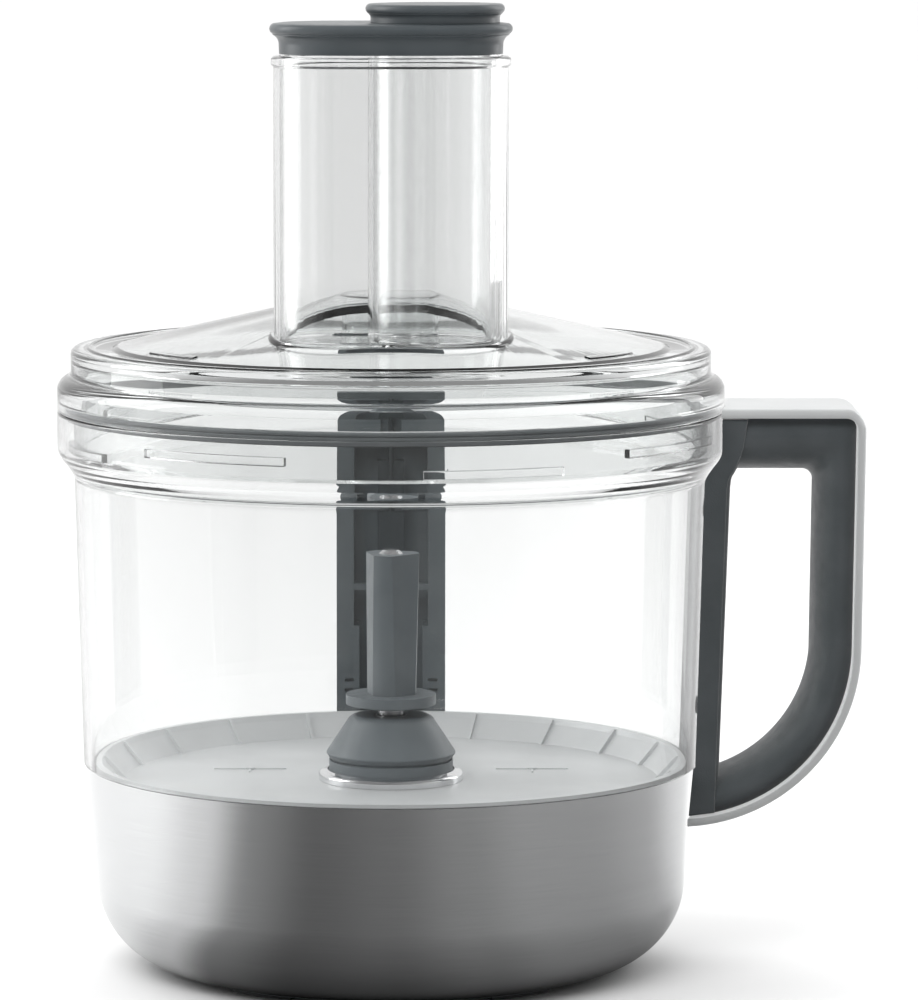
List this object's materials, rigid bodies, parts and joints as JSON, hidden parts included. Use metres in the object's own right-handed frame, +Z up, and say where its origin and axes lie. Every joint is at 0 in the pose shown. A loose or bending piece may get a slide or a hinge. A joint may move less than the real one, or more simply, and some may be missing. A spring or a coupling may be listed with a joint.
{
  "type": "food processor bowl unit",
  "caption": "Food processor bowl unit: clear bowl and lid on a deep steel skirt, with a side handle, nested food pushers, a lid interlock and a central drive.",
  "frame": {"origin": "on the drive axis, at the plane the feet stand on", "axes": "+Z up along the drive axis; the front and the feed tube face -Y, the handle is at +X and the interlock housing at +Y"},
  "size_m": [0.2828, 0.2442, 0.3407],
  "materials": {
    "clear_plastic": "clear gloss",
    "floor_plastic": "frosted satin",
    "rubber": "matt",
    "seal_rubber": "matt",
    "skirt_steel": "brushed round",
    "slate_plastic": "satin",
    "steel": "turned",
    "chrome_ring": "bright",
    "bush_metal": "plain",
    "grip_plastic": "satin",
    "trim_paint": "silver satin"
  },
  "bodies": {
    "bowl_unit": {"bowl": "clear_plastic", "floor_plate": "floor_plastic", "bowl_seal": "rubber", "steel_skirt": "skirt_steel", "base_housing": "slate_plastic", "base_plate": "slate_plastic", "feet": "rubber", "base_screws": "steel", "floor_screws": "steel", "hub_ring": "chrome_ring", "hub_base": "slate_plastic", "hub_cover": "slate_plastic", "upper_bush": "bush_metal", "lower_bush": "bush_metal", "shaft_seal": "rubber", "handle_grip": "grip_plastic", "handle_trim": "trim_paint", "handle_screws": "steel", "rear_housing": "slate_plastic", "rear_screws": "steel", "interlock_spring": "steel"},
    "drive": {"drive_shaft": "steel", "circlip": "steel", "drive_pin": "steel", "drive_coupling": "slate_plastic", "coupling_screw": "steel"},
    "stem": {"drive_stem": "slate_plastic"},
    "interlock": {"interlock_rod": "grip_plastic"},
    "seal": {"lid_seal": "seal_rubber"},
    "lid": {"lid": "clear_plastic"},
    "pusher": {"pusher_body": "clear_plastic", "pusher_cap": "slate_plastic"},
    "small_pusher": {"small_pusher_body": "clear_plastic", "small_pusher_cap": "slate_plastic"}
  },
  "joints": [
    {"name": "drive_spin", "type": "hinge", "parent": "bowl_unit", "child": "drive", "pos_m": [0, 0, 0], "axis": [0, 0, 1], "continuous": true},
    {"name": "stem_lift", "type": "slide", "parent": "drive", "child": "stem", "axis": [0, 0, 1], "range_m": [0, 0.058]},
    {"name": "lid_lift", "type": "slide", "parent": "bowl_unit", "child": "seal", "axis": [0, 0, 1], "range_m": [0, 0.12]},
    {"name": "lid_turn", "type": "hinge", "parent": "seal", "child": "lid", "pos_m": [0, 0, 0], "axis": [0, 0, -1], "range_deg": [0, 36]},
    {"name": "interlock_slide", "type": "slide", "parent": "bowl_unit", "child": "interlock", "axis": [0, 0, -1], "range_m": [0, 0.003], "deforming": ["interlock_spring"]},
    {"name": "pusher_lift", "type": "slide", "parent": "lid", "child": "pusher", "axis": [0, 0, 1], "range_m": [0, 0.11]},
    {"name": "small_pusher_lift", "type": "slide", "parent": "pusher", "child": "small_pusher", "axis": [0, 0, 1], "range_m": [0, 0.115]}
  ],
  "couplings": [
    {"joint": "interlock_slide", "follows": "lid_turn", "m_per_rad": 0.00477}
  ]
}
